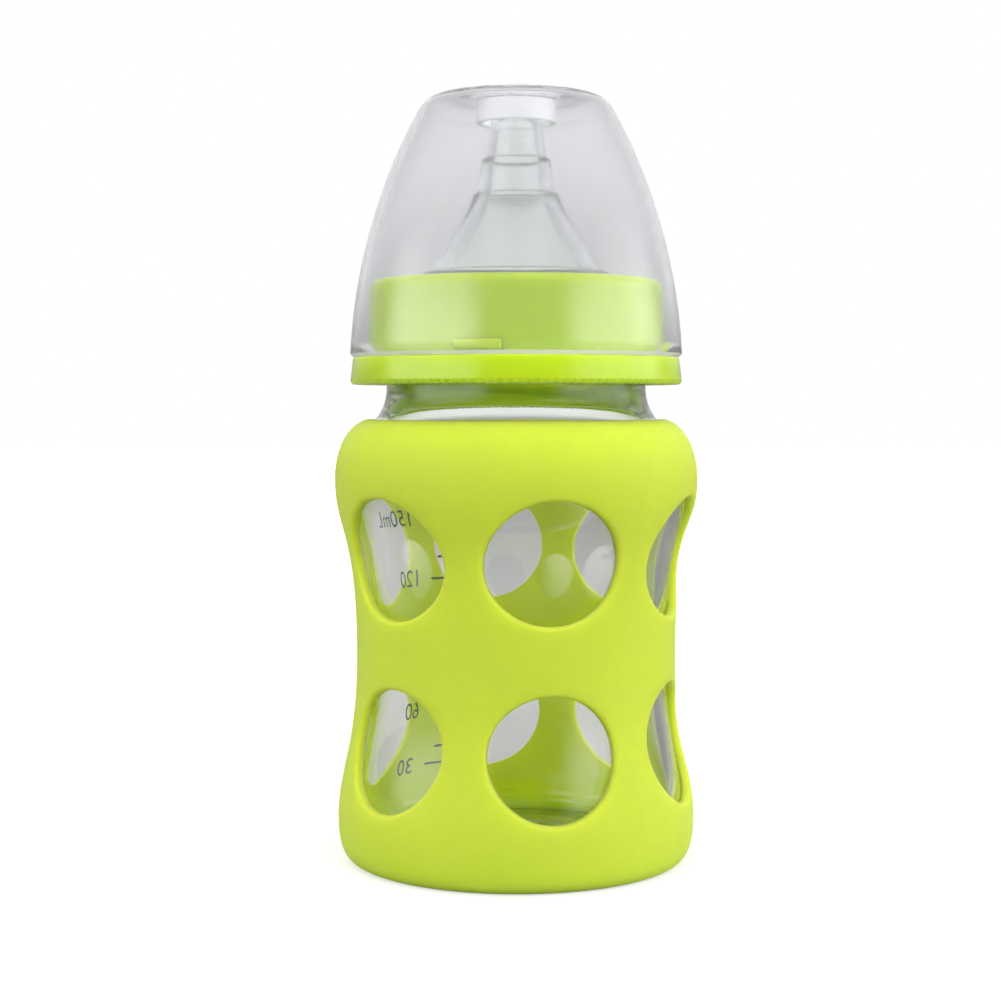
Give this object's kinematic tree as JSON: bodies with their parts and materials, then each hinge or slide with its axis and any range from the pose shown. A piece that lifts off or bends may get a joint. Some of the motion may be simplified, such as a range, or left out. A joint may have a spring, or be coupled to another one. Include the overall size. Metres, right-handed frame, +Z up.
{
  "type": "baby bottle",
  "caption": "Wide-neck glass baby bottle in a windowed silicone sleeve, with a screw collar, a stepped teat and a clear lift-off dust cap.",
  "frame": {"origin": "middle of the underside, on the surface that the bottle stands on", "axes": "+Z up along the bottle's axis; -Y faces the middle of the front windows"},
  "size_m": [0.0701, 0.07, 0.1478],
  "materials": {
    "clear_glass": "clear polished glass",
    "lime_silicone": "matte moulded silicone",
    "lime_plastic": "glossy moulded plastic",
    "clear_silicone": "translucent moulded silicone",
    "clear_plastic": "clear slightly milky moulded plastic"
  },
  "bodies": {
    "bottle": {"glass_bottle": "clear_glass", "silicone_sleeve": "lime_silicone"},
    "teat": {"teat": "clear_silicone"},
    "collar": {"screw_collar": "lime_plastic"},
    "cap": {"dust_cap": "clear_plastic"}
  },
  "joints": [
    {"name": "teat_rise", "type": "slide", "parent": "bottle", "child": "teat", "axis": [0, 0, 1], "range_m": [0, 0.0061]},
    {"name": "collar_unscrew", "type": "hinge", "parent": "teat", "child": "collar", "pos_m": [0, 0, 0.1], "axis": [0, 0, 1], "range_deg": [0, 540]},
    {"name": "cap_lift", "type": "slide", "parent": "collar", "child": "cap", "axis": [0, 0, 1], "range_m": [0, 0.06]}
  ],
  "couplings": [
    {"joint": "teat_rise", "follows": "collar_unscrew", "m_per_rad": 0.00063662}
  ]
}
